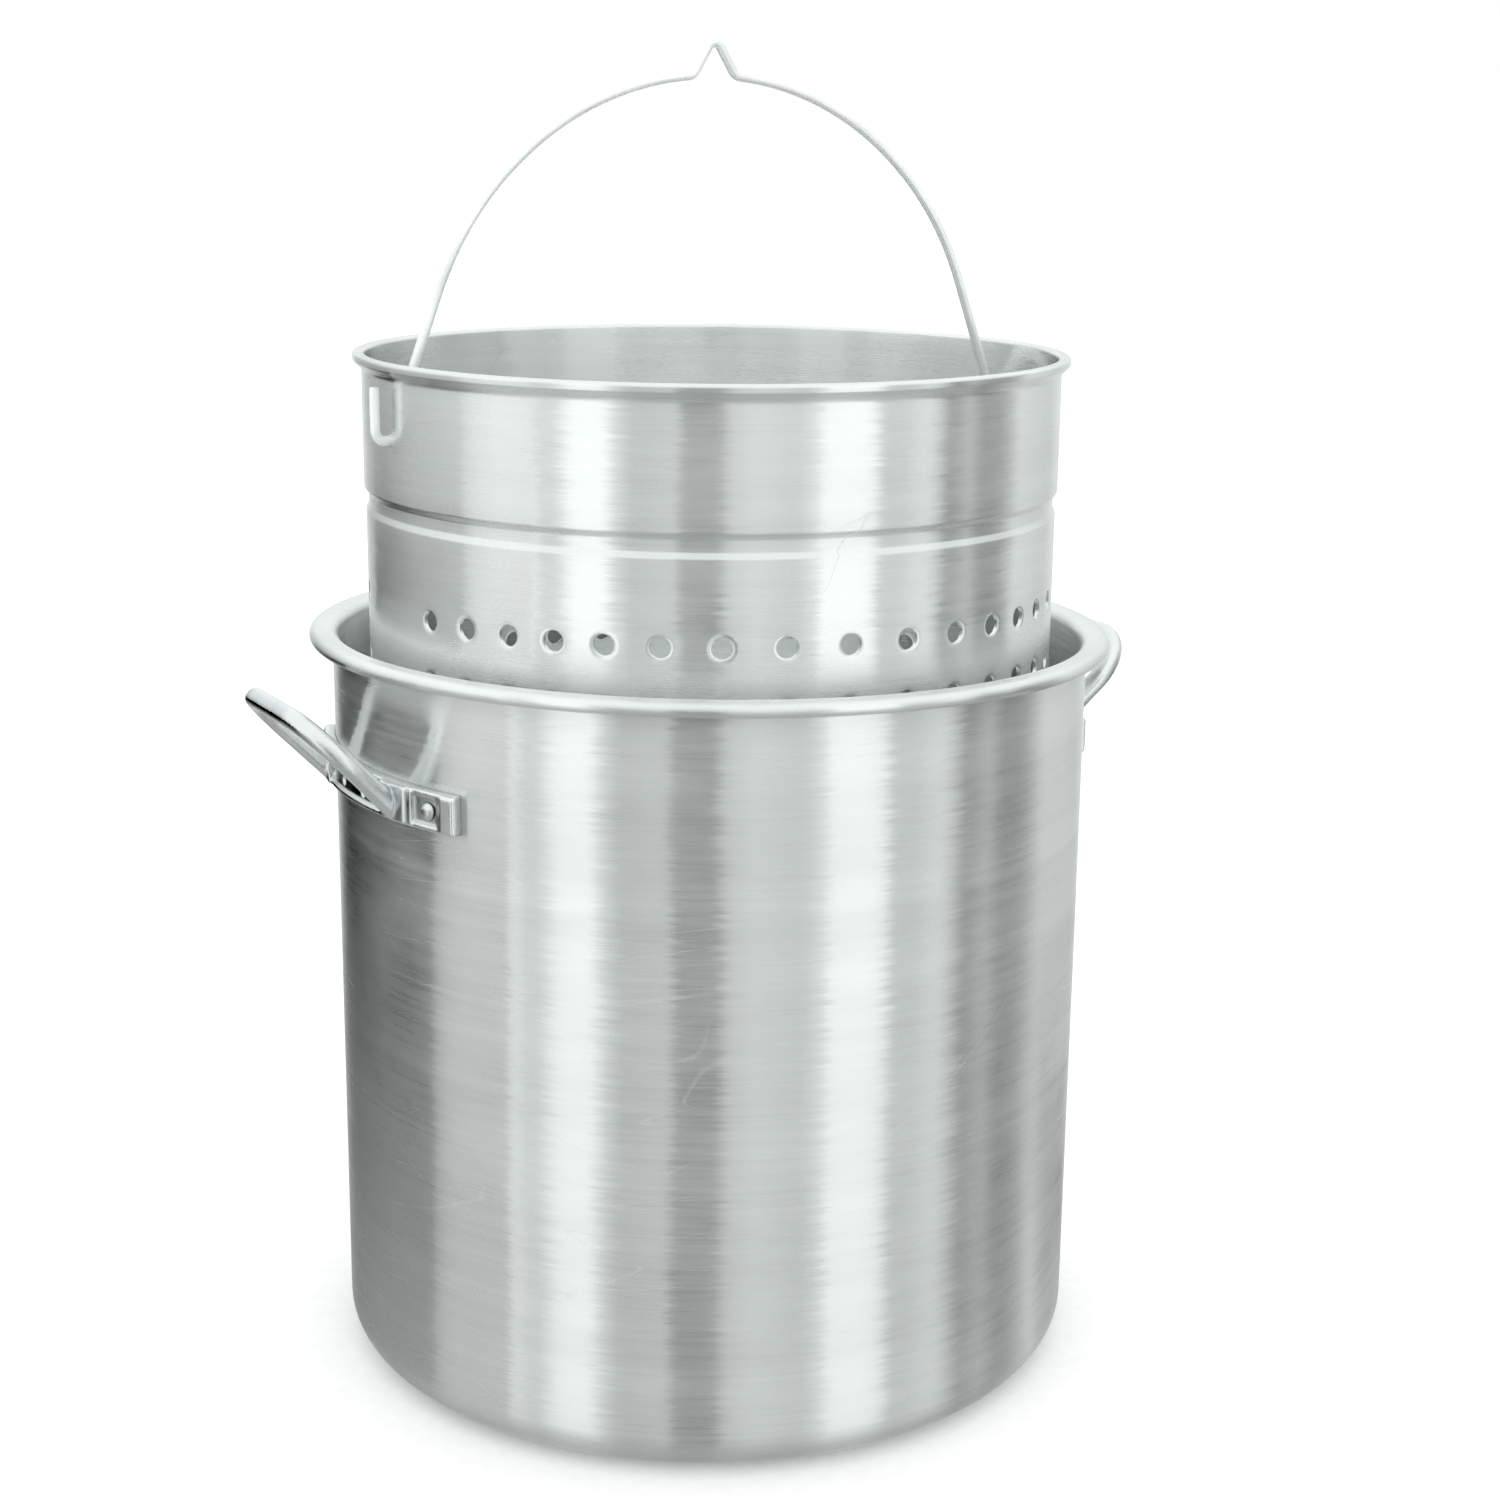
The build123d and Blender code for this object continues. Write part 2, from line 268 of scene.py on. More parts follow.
def lathe_faces(rows, columns, closed, offset=0):
    faces = []
    for row in range(rows if closed else rows - 1):
        low = offset + row * columns
        high = offset + ((row + 1) % rows) * columns
        for column in range(columns):
            after = (column + 1) % columns
            faces.append((low + column, low + after, high + after, high + column))
    return faces


def capped_faces(rows, columns):
    """The faces of an open tube of points, with one face over each end."""
    faces = lathe_faces(rows, columns, False)
    faces.append(tuple(range(columns)))
    faces.append(tuple(range((rows - 1) * columns, rows * columns)))
    return faces


def turned_points(profile, angles, ripple_size):
    """Rows of points round Z, one row per profile point."""
    radius = profile[:, 0][:, None]
    height = profile[:, 1][:, None]
    turn = angles[None, :]
    wavy = radius + ripple(turn, height, ripple_size) * np.clip(radius / POT_RADIUS, 0, 1) ** 2
    flat = np.broadcast_to(height, wavy.shape)
    return np.stack([wavy * np.cos(turn), wavy * np.sin(turn), flat], axis=-1).reshape(-1, 3)


# ---------------------------------------------------------------- pot

def leaning(vertices):
    """The same points, raised on the rim's high side and lowered opposite it."""
    high_x, high_y = math.cos(RIM_LEAN_ANGLE), math.sin(RIM_LEAN_ANGLE)
    moved = []
    for x, y, z in vertices:
        rise = RIM_LEAN * (z / RIM_Z) * (x * high_x + y * high_y) / POT_RADIUS
        moved.append((x, y, z + rise))
    return moved


def build_pot():
    inner = POT_RADIUS - POT_WALL
    bead_low = RIM_Z - BEAD_HEIGHT
    core = 2 * MM
    corners = [
        (core, 0, 0),
        (POT_RADIUS, 0, POT_CORNER),
        (POT_RADIUS, bead_low - NECK_DROP, NECK_BEND),
        (BEAD_RADIUS, bead_low, BEAD_UNDER_BEND),
        (BEAD_RADIUS, RIM_Z, BEAD_OVER_BEND),
        (inner, RIM_Z, MOUTH_BEND),
        (inner, POT_FLOOR, POT_CORNER - POT_WALL),
        (core, POT_FLOOR, 0),
    ]
    profile = subdivided(rounded_path(corners), 8 * MM)
    angles = np.arange(POT_COLUMNS) * 2 * math.pi / POT_COLUMNS
    vertices = leaning(turned_points(profile, angles, POT_RIPPLE))
    piece = mesh_object("pot_shell", vertices, capped_faces(len(profile), POT_COLUMNS))
    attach(piece, "kettle")
    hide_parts("kettle_pot")
    return piece


# ---------------------------------------------------------------- basket

def hole_angles():
    """Angles of the holes of one row, in radians."""
    pitch = 360 / HOLES_PER_ROW
    angles = []
    for step in range(HOLES_PER_ROW):
        nominal = step * pitch
        lag = math.radians(HOLE_DRIFT_CYCLES * (nominal - HOLE_DRIFT_LAG))
        angles.append(math.radians(HOLE_PHASE + nominal + HOLE_DRIFT * math.cos(lag)))
    return np.array(angles)


def cell_edges(centres):
    """Angles half-way between neighbouring holes, one more than there are holes."""
    before = np.concatenate([[centres[-1] - 2 * math.pi], centres])
    edges = (before[:-1] + before[1:]) / 2
    return np.concatenate([edges, [edges[0] + 2 * math.pi]])


def column_angles(edges):
    """The shared columns of the shell: SIDE_STEPS to each cell of the hole pattern."""
    share = np.arange(SIDE_STEPS) / SIDE_STEPS
    return np.concatenate([low + (high - low) * share for low, high in zip(edges[:-1], edges[1:])])


def cell_border(low, high, bottom, top, radius, centre):
    """Points round one cell as (arc length, height), from its centre."""
    across = low + (high - low) * np.arange(SIDE_STEPS + 1) / SIDE_STEPS
    up = bottom + (top - bottom) * np.arange(SIDE_STEPS + 1) / SIDE_STEPS
    sides = [
        [(a, bottom) for a in across[:-1]],
        [(high, z) for z in up[:-1]],
        [(a, top) for a in across[:0:-1]],
        [(low, z) for z in up[:0:-1]],
    ]
    middle_z = (bottom + top) / 2
    return np.array([((a - centre) * radius, z - middle_z) for side in sides for a, z in side])


def perforated_cell(low, high, centre, bottom, top, pierced):
    """One cell of wall, with a hole or plain: rings of points outside and inside."""
    outer = BASKET_LOWER_RADIUS
    inner = outer - BASKET_WALL
    border = cell_border(low, high, bottom, top, outer, centre)
    count = len(border)
    turn = math.radians(225) + np.arange(count) * 2 * math.pi / count
    circle = np.stack([np.cos(turn), np.sin(turn)], axis=1)
    middle_z = (bottom + top) / 2
    if pierced:
        radii = [HOLE_RADIUS + growth for growth in HOLE_RING_GROWTH]
        dips = [HOLE_DIP * np.exp((HOLE_RADIUS - radius) / HOLE_DIP_REACH) for radius in radii] + [0.0]
    else:
        radii = PLAIN_RING_RADII
        dips = [0.0] * (len(radii) + 1)
    shell_rings = [circle * radius for radius in radii] + [border]
    rings = [(ring, outer - dip) for ring, dip in zip(shell_rings[::-1], dips[::-1])]
    rings += [(ring, inner - INNER_DIP_SHARE * dip) for ring, dip in zip(shell_rings, dips)]
    points = []
    for ring, radius in rings:
        angle = centre + ring[:, 0] / outer
        flat = np.full(count, radius)
        height = middle_z + ring[:, 1]
        points.append(np.stack([flat * np.cos(angle), flat * np.sin(angle), height], axis=1))
    if pierced:
        return np.concatenate(points), lathe_faces(len(rings), count, False)
    half = len(shell_rings)
    faces = lathe_faces(half, count, False) + lathe_faces(half, count, False, half * count)
    faces.append(tuple(range((half - 1) * count, half * count)))
    faces.append(tuple(range(half * count, (half + 1) * count)))
    return np.concatenate(points), faces


def perforated_wall(edges, centres):
    """All the cells of the wall, row by row; the rows stop short of the hinges."""
    vertices = []
    faces = []
    offset = 0
    for row in range(ROW_COUNT):
        middle = FIRST_ROW_Z - row * ROW_PITCH
        low, high = middle - ROW_PITCH / 2, middle + ROW_PITCH / 2
        for column, centre in enumerate(centres):
            from_hinge = (centre + math.pi / 2) % math.pi - math.pi / 2
            pierced = abs(from_hinge) > HINGE_GAP_ANGLE
            left, right = edges[column], edges[column + 1]
            points, cell_faces = perforated_cell(left, right, centre, low, high, pierced)
            vertices.append(points)
            faces += [tuple(i + offset for i in face) for face in cell_faces]
            offset += len(points)
    return np.concatenate(vertices), faces


def upper_profile():
    """From the top of the perforated band, over the lip and back down inside."""
    band_top = FIRST_ROW_Z + ROW_PITCH / 2
    groove_low = GROOVE_TOP_Z - GROOVE_HEIGHT
    ramp = GROOVE_HEIGHT / 4
    waist = BASKET_RADIUS - GROOVE_DEPTH
    wall = BASKET_WALL
    corners = [
        (BASKET_LOWER_RADIUS, band_top, 0),
        (BASKET_LOWER_RADIUS, groove_low, GROOVE_EDGE_BEND),
        (waist, groove_low + ramp, GROOVE_WAIST_BEND),
        (waist, GROOVE_TOP_Z - ramp, GROOVE_WAIST_BEND),
        (BASKET_RADIUS, GROOVE_TOP_Z, GROOVE_EDGE_BEND),
        (BASKET_RADIUS, BASKET_TOP_Z - LIP_FLARE, LIP_NECK_BEND),
        (LIP_RADIUS - LIP_SHRINK, BASKET_TOP_Z - LIP_HEIGHT, LIP_UNDER_BEND),
        (LIP_RADIUS, BASKET_TOP_Z, LIP_OVER_BEND),
        (BASKET_RADIUS - wall, BASKET_TOP_Z, LIP_INNER_BEND),
        (BASKET_RADIUS - wall, GROOVE_TOP_Z, GROOVE_EDGE_BEND),
        (waist - wall, GROOVE_TOP_Z - ramp, GROOVE_WAIST_BEND),
        (waist - wall, groove_low + ramp, GROOVE_WAIST_BEND),
        (BASKET_LOWER_RADIUS - wall, groove_low, GROOVE_EDGE_BEND),
        (BASKET_LOWER_RADIUS - wall, band_top, 0),
    ]
    return subdivided(rounded_path(corners), 6 * MM)


def corner_profiles(flat_radius):
    """The rounded bottom corner, outside and inside, down to the flat floor."""
    band_low = FIRST_ROW_Z - (ROW_COUNT - 0.5) * ROW_PITCH
    wall = BASKET_WALL
    outside = [
        (BASKET_LOWER_RADIUS, band_low, 0),
        (BASKET_LOWER_RADIUS, BASKET_LOW_Z, BASKET_CORNER),
        (flat_radius, BASKET_LOW_Z, 0),
    ]
    inside = [
        (BASKET_LOWER_RADIUS - wall, band_low, 0),
        (BASKET_LOWER_RADIUS - wall, BASKET_LOW_Z + BASKET_FLOOR, BASKET_CORNER - wall),
        (flat_radius, BASKET_LOW_Z + BASKET_FLOOR, 0),
    ]
    sides = [rounded_path(side, arc_step=math.radians(6)) for side in (outside, inside)]
    return [subdivided(side, 6 * MM) for side in sides]


def floor_hole_centres():
    centres = [(0.0, 0.0)]
    for ring in range(1, RING_COUNT + 1):
        count = ring * RING_STEP
        for step in range(count):
            turn = 2 * math.pi * step / count
            centres.append((ring * RING_PITCH * math.cos(turn), ring * RING_PITCH * math.sin(turn)))
    return centres


def floor_mesh(angles, flat_radius):
    """The flat perforated floor, with both faces and the walls of its holes."""
    points = [Vector((flat_radius * math.cos(a), flat_radius * math.sin(a))) for a in angles]
    loops = [list(range(len(points)))]
    centres = floor_hole_centres()
    for x, y in centres:
        start = len(points)
        for step in range(HOLE_POINTS):
            turn = 2 * math.pi * step / HOLE_POINTS
            points.append(Vector((x + HOLE_RADIUS * math.cos(turn), y + HOLE_RADIUS * math.sin(turn))))
        loops.append(list(range(start, start + HOLE_POINTS)))
    edges = [(a, b) for loop in loops for a, b in zip(loop, loop[1:] + loop[:1])]
    flat, _, triangles, _, _, _ = delaunay_2d_cdt(points, edges, [], 1, 1e-9)
    spots = np.array(centres)
    kept = []
    for triangle in triangles:
        middle = np.mean([flat[i] for i in triangle], axis=0)
        clear = np.min(np.linalg.norm(spots - middle, axis=1)) > HOLE_RADIUS * 0.97
        if clear:
            kept.append(tuple(triangle))
    count = len(flat)
    low = [(p.x, p.y, BASKET_LOW_Z) for p in flat]
    high = [(p.x, p.y, BASKET_LOW_Z + BASKET_FLOOR) for p in flat]
    faces = kept + [tuple(i + count for i in triangle[::-1]) for triangle in kept]
    for loop in loops[1:]:
        for a, b in zip(loop, loop[1:] + loop[:1]):
            faces.append((a, b, b + count, a + count))
    return np.array(low + high), faces


def build_basket():
    centres = hole_angles()
    edges = cell_edges(centres)
    angles = column_angles(edges)
    flat_radius = BASKET_LOWER_RADIUS - BASKET_CORNER - 14 * MM
    vertices, faces = perforated_wall(edges, centres)
    vertices = [vertices]
    for profile in [upper_profile()] + corner_profiles(flat_radius):
        offset = sum(len(v) for v in vertices)
        vertices.append(turned_points(profile, angles, 0.0))
        faces += lathe_faces(len(profile), len(angles), False, offset)
    offset = sum(len(v) for v in vertices)
    flat, flat_faces = floor_mesh(angles, flat_radius)
    vertices.append(flat)
    faces += [tuple(i + offset for i in face) for face in flat_faces]
    piece = mesh_object("basket_shell", np.concatenate(vertices), faces, weld=1e-6)
    wave_basket(piece)
    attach(piece, "basket")
    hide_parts("strainer_basket")
    return piece


def wave_basket(piece):
    """The thin wall is never quite round."""
    for vertex in piece.data.vertices:
        x, y, z = vertex.co
        radius = math.hypot(x, y)
        if radius < 1e-6:
            continue
        share = (radius / BASKET_RADIUS) ** 2
        grow = 1 + share * float(ripple(math.atan2(y, x), z, BASKET_RIPPLE)) / radius
        vertex.co.x = x * grow
        vertex.co.y = y * grow


# ---------------------------------------------------------------- bail

def bail_path():
    """The wire's centre line in its own plane, as (x, z) points."""
    rise = BAIL_LEG_TOP_Z - BAIL_CENTRE_Z
    leave = math.atan2(rise, BAIL_LEG_X) + math.acos(BAIL_RADIUS / math.hypot(BAIL_LEG_X, rise))
    arrive = math.acos(NOTCH_HALF_WIDTH / BAIL_RADIUS)
    corners = [(0, NOTCH_PEAK_Z, NOTCH_PEAK_BEND)]
    steps = 60
    for step in range(steps + 1):
        turn = arrive + (leave - arrive) * step / steps
        bend = NOTCH_FOOT_BEND if step == 0 else 0
        corners.append((BAIL_RADIUS * math.cos(turn), BAIL_CENTRE_Z + BAIL_RADIUS * math.sin(turn), bend))
    corners += [
        (BAIL_LEG_X, BAIL_LEG_TOP_Z, BAIL_LEG_BEND),
        (BAIL_LEG_X, HINGE_Z, HOOK_BEND),
        (HOOK_X, HINGE_Z, HOOK_BEND),
        (HOOK_X, HOOK_TOP_Z, 0),
    ]
    mirrored = [(-x, z, bend) for x, z, bend in corners[:0:-1]]
    return subdivided(rounded_path(mirrored + corners), 3 * MM)


def build_bail():
    path = bail_path()
    along = np.gradient(path, axis=0)
    along /= np.linalg.norm(along, axis=1)[:, None]
    turn = np.arange(WIRE_SIDES) * 2 * math.pi / WIRE_SIDES
    tip, shoulder = [WIRE_RADIUS * share for share in WIRE_END_SHARES]
    vertices = []
    rows = [
        (path[0], along[0], tip),
        (path[0] + along[0] * WIRE_END_SETBACK, along[0], shoulder),
    ]
    rows += [(point, tangent, WIRE_RADIUS) for point, tangent in zip(path[1:-1], along[1:-1])]
    rows += [
        (path[-1] - along[-1] * WIRE_END_SETBACK, along[-1], shoulder),
        (path[-1], along[-1], tip),
    ]
    for point, tangent, radius in rows:
        normal = np.array([tangent[1], -tangent[0]])
        for angle in turn:
            shift = normal * math.cos(angle) * radius
            vertices.append((point[0] + shift[0], math.sin(angle) * radius, point[1] + shift[1]))
    piece = mesh_object("bail_wire", vertices, capped_faces(len(rows), WIRE_SIDES))
    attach(piece, "bail")
    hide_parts("bail_handle")
    return piece


# ---------------------------------------------------------------- handles

def sector(low_angle, high_angle, outline):
    """A closed solid: an outline of (radius, height) points swept round part of a turn."""
    steps = max(2, int(abs(high_angle - low_angle) / 1.0))
    rows = []
    for step in range(steps + 1):
        turn = math.radians(low_angle + (high_angle - low_angle) * step / steps)
        rows += [(r * math.cos(turn), r * math.sin(turn), z) for r, z in outline]
    return rows, capped_faces(steps + 1, len(outline))


def box_outline(low_radius, high_radius, low_z, high_z, rounding):
    corners = [
        (low_radius, low_z, 0),
        (high_radius, low_z, rounding),
        (high_radius, high_z, rounding),
        (low_radius, high_z, 0),
    ]
    return rounded_path(corners, closed=True, arc_step=math.radians(30))


def bar_section(width, thickness, count=28):
    """A rounded bar: a superellipse round the origin."""
    points = []
    for step in range(count):
        turn = 2 * math.pi * step / count
        c, s = math.cos(turn), math.sin(turn)
        across = math.copysign(abs(c) ** BAR_POWER, c)
        through = math.copysign(abs(s) ** BAR_POWER, s)
        points.append((width / 2 * across, thickness / 2 * through))
    return points


def loop_solid():
    """The grip: a U-shaped bar whose arms swell where they meet the strip."""
    root_x = math.sqrt(LOOP_ROOT_RADIUS**2 - LOOP_ROOT_HALF_WIDTH**2)
    slope = math.radians(LOOP_TILT)
    along = Vector((math.cos(slope), 0, math.sin(slope)))
    across = Vector((0, 1, 0))
    lift = along.cross(across) * -1
    root = Vector((root_x, 0, LOOP_ROOT_Z))
    corners = [
        (-LOOP_ROOT_HALF_WIDTH, -ROOT_SINK, 0),
        (-LOOP_HALF_WIDTH, LOOP_REACH, LOOP_CORNER),
        (LOOP_HALF_WIDTH, LOOP_REACH, LOOP_CORNER),
        (LOOP_ROOT_HALF_WIDTH, -ROOT_SINK, 0),
    ]
    path = subdivided(rounded_path(corners, arc_step=math.radians(4)), 4 * MM)
    heading = np.gradient(path, axis=0)
    bar = bar_section(BAR_WIDTH, BAR_THICKNESS)
    rows = []
    for (side, reach), step in zip(path, heading):
        step = step / np.linalg.norm(step)
        normal = (step[1], -step[0])
        swell = math.exp(-max(reach, 0) / ROOT_SWELL_REACH)
        for u, v in bar:
            u *= 1 + (ROOT_SWELL_OUT if u < 0 else ROOT_SWELL_IN) * swell
            v *= 1 + (ROOT_SWELL_DOWN if v < 0 else 0.0) * swell
            point = root + across * (side + u * normal[0]) + along * (reach + u * normal[1]) + lift * v
            rows.append(tuple(point))
    return rows, capped_faces(len(path), len(bar))


def strip_solids():
    """The strip's web, its raised edges and the ribs round each rivet."""
    inner = POT_RADIUS - 1.0 * MM
    face = POT_RADIUS + STRIP_THICKNESS
    low = STRIP_LOW_Z
    high = low + STRIP_HEIGHT
    limit = STRIP_HALF_ANGLE
    web = box_outline(inner, face - 1.6 * MM, low + 0.4 * MM, high - 0.4 * MM, 0.8 * MM)
    low_edge = box_outline(inner, face, low, low + 3.6 * MM, 1.4 * MM)
    high_edge = box_outline(inner, face - 0.3 * MM, high - 3.0 * MM, high, 1.3 * MM)
    solids = [sector(-limit, limit, outline) for outline in (web, low_edge, high_edge)]
    for centre, half_width, stand in STRIP_RIBS:
        for side in (-1, 1):
            outline = box_outline(inner, face + stand, low + 0.8 * MM, high - 0.8 * MM, 1.0 * MM)
            solids.append(sector(side * centre - half_width, side * centre + half_width, outline))
    return solids


def build_handle(node, facing):
    """One casting: overlapping solids, fused and smoothed into a single skin."""
    vertices = []
    faces = []
    for rows, solid_faces in strip_solids() + [loop_solid()]:
        offset = len(vertices)
        vertices += rows
        faces += [tuple(i + offset for i in face) for face in solid_faces]
    piece = mesh_object(node + "_casting", vertices, faces)
    remesh = piece.modifiers.new("fuse", "REMESH")
    remesh.mode = "VOXEL"
    remesh.voxel_size = CASTING_VOXEL
    soften = piece.modifiers.new("soften", "SMOOTH")
    soften.factor = 0.5
    soften.iterations = 5
    apply_modifiers(piece)
    shape_casting(piece)
    piece.data.transform(Matrix.Rotation(math.radians(facing), 4, "Z"))
    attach(piece, "kettle")
    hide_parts(node)
    return piece


def apply_modifiers(piece):
    graph = bpy.context.evaluated_depsgraph_get()
    baked = bpy.data.meshes.new_from_object(piece.evaluated_get(graph))
    piece.modifiers.clear()
    piece.data = baked
    for polygon in baked.polygons:
        polygon.use_smooth = True


def shape_casting(piece):
    """Presses the back flat to the pot and sinks the mould marks."""
    seat = POT_RADIUS + SEAT_GAP
    face = POT_RADIUS + STRIP_THICKNESS
    marks = [side * math.radians(angle) for angle in MARK_ANGLES for side in (-1, 1)]
    top = STRIP_LOW_Z + STRIP_HEIGHT
    for vertex in piece.data.vertices:
        x, y, z = vertex.co
        radius = math.hypot(x, y)
        turn = math.atan2(y, x)
        if radius < seat:
            radius = seat
        if radius < face + 1.0 * MM and STRIP_LOW_Z < z < top:
            for mark_turn in marks:
                reach = math.hypot((turn - mark_turn) * face, z - MARK_Z)
                if reach < MARK_REACH and radius > face - 2.4 * MM:
                    radius -= MARK_DEPTH * max(0.0, 1 - (reach / MARK_REACH) ** 4)
        vertex.co = (radius * math.cos(turn), radius * math.sin(turn), z)


# ---------------------------------------------------------------- rivets

def build_rivet(node, angle):
    """A closed rivet on a radial axis: outer head, shank and inner head."""
    inner = POT_RADIUS - POT_WALL - SEAT_GAP
    outer = POT_RADIUS + STRIP_THICKNESS - 0.9 * MM
    corners = [
        (0.15 * MM, inner - 2.2 * MM, 0),
        (3.4 * MM, inner - 2.1 * MM, 2.0 * MM),
        (RIVET_INNER_RADIUS, inner - 0.5 * MM, 0.4 * MM),
        (RIVET_INNER_RADIUS, inner, 0),
        (RIVET_SHANK_RADIUS, inner, 0),
        (RIVET_SHANK_RADIUS, outer, 0),
        (RIVET_HEAD_RADIUS, outer, 0),
        (RIVET_HEAD_RADIUS, outer + 0.6 * MM, 0.5 * MM),
        (2.6 * MM, outer + 2.7 * MM, 2.6 * MM),
        (0.15 * MM, outer + 2.8 * MM, 0),
    ]
    profile = rounded_path(corners, arc_step=math.radians(8))
    spin = np.arange(RIVET_COLUMNS) * 2 * math.pi / RIVET_COLUMNS
    turn = math.radians(angle)
    out = np.array([math.cos(turn), math.sin(turn), 0])
    side = np.array([-math.sin(turn), math.cos(turn), 0])
    up = np.array([0, 0, 1])
    vertices = []
    for radius, distance in profile:
        for s in spin:
            dent = 1 + 0.03 * math.sin(3 * s + angle)
            spot = out * distance + side * radius * dent * math.cos(s) + up * radius * dent * math.sin(s)
            vertices.append(tuple(spot + up * RIVET_Z))
    piece = mesh_object(node + "_head", vertices, capped_faces(len(profile), RIVET_COLUMNS))
    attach(piece, "kettle")
    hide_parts(node)
    return piece


# ---------------------------------------------------------------- materials

POT_TINT = (0.915, 0.94, 0.93)
BASKET_TINT = (0.93, 0.955, 0.945)
CASTING_TINT = (0.93, 0.965, 0.96)
RIVET_TINT = (0.89, 0.92, 0.915)
WIRE_TINT = (0.92, 0.95, 0.95)


def new_material(name):
    """An empty node material, and the short calls that fill it."""
    material = bpy.data.materials.new(name)
    material.use_nodes = True
    return material, Graph(material.node_tree)


class Graph:
    """Short calls for building a node tree."""

    def __init__(self, tree):
        self.tree = tree
        tree.nodes.clear()

    def add(self, kind, inputs=None, **settings):
        node = self.tree.nodes.new(kind)
        for key, value in settings.items():
            setattr(node, key, value)
        for key, value in (inputs or {}).items():
            self.feed(node.inputs[key], value)
        return node

    def feed(self, socket, value):
        if isinstance(value, bpy.types.NodeSocket):
            self.tree.links.new(value, socket)
        else:
            socket.default_value = value

    def math(self, operation, a, b=0.0, clamp=False):
        node = self.add("ShaderNodeMath", {0: a, 1: b}, operation=operation, use_clamp=clamp)
        return node.outputs[0]

    def vector(self, operation, a, b=(0, 0, 0)):
        node = self.add("ShaderNodeVectorMath", {0: a, 1: b}, operation=operation)
        return node.outputs[0]

    def noise(self, coordinate, scale, detail=3.0, roughness=0.5):
        stretched = self.vector("MULTIPLY", coordinate, scale)
        node = self.add("ShaderNodeTexNoise", {"Vector": stretched, "Scale": 1.0, "Detail": detail,
                                               "Roughness": roughness})
        return node.outputs[0]

    def remap(self, value, low, high, to_low, to_high):
        node = self.add("ShaderNodeMapRange", {"Value": value, "From Min": low, "From Max": high,
                                               "To Min": to_low, "To Max": to_high})
        return node.outputs[0]

    def grey(self, level):
        return self.add("ShaderNodeCombineXYZ", {0: level, 1: level, 2: level}).outputs[0]

    def finish(self, shader):
        self.add("ShaderNodeOutputMaterial", {"Surface": shader.outputs[0]})


# How much of the brushed metal's shine is its tighter lobe.
TIGHT_LOBE_SHARE = 0.7


def turned_coordinates(graph):
    """Object coordinates, with the distance along the turned profile as the third."""
    place = graph.add("ShaderNodeTexCoord").outputs["Object"]
    split = graph.add("ShaderNodeSeparateXYZ", {0: place})
    flat = graph.add("ShaderNodeCombineXYZ", {0: split.outputs[0], 1: split.outputs[1]}).outputs[0]
    radius = graph.add("ShaderNodeVectorMath", {0: flat}, operation="LENGTH").outputs["Value"]
    along = graph.math("ADD", split.outputs[2], radius)
    lathe = graph.add("ShaderNodeCombineXYZ", {0: split.outputs[0], 1: split.outputs[1], 2: along})
    return place, flat, lathe.outputs[0]


def brush_tangent(graph, flat):
    """The direction across the brush lines, which all run round the axis."""
    round_axis = graph.vector("CROSS_PRODUCT", (0, 0, 1), flat)
    normal = graph.add("ShaderNodeNewGeometry").outputs["Normal"]
    return graph.vector("NORMALIZE", graph.vector("CROSS_PRODUCT", round_axis, normal))


def scratches(graph, place, turn, stretch, width):
    """Sparse hairline scratches: contour lines of a stretched noise, in a few patches."""
    mapping = graph.add("ShaderNodeMapping", {"Vector": place, "Rotation": turn}, vector_type="POINT")
    field = graph.noise(mapping.outputs[0], stretch, detail=0.0)
    gap = graph.math("ABSOLUTE", graph.math("SUBTRACT", field, 0.5))
    line = graph.remap(gap, 0.0, width, 1.0, 0.0)
    patch = graph.noise(place, (11, 11, 9), detail=1.0)
    return graph.math("MULTIPLY", line, graph.remap(patch, 0.52, 0.64, 0.0, 1.0), clamp=True)


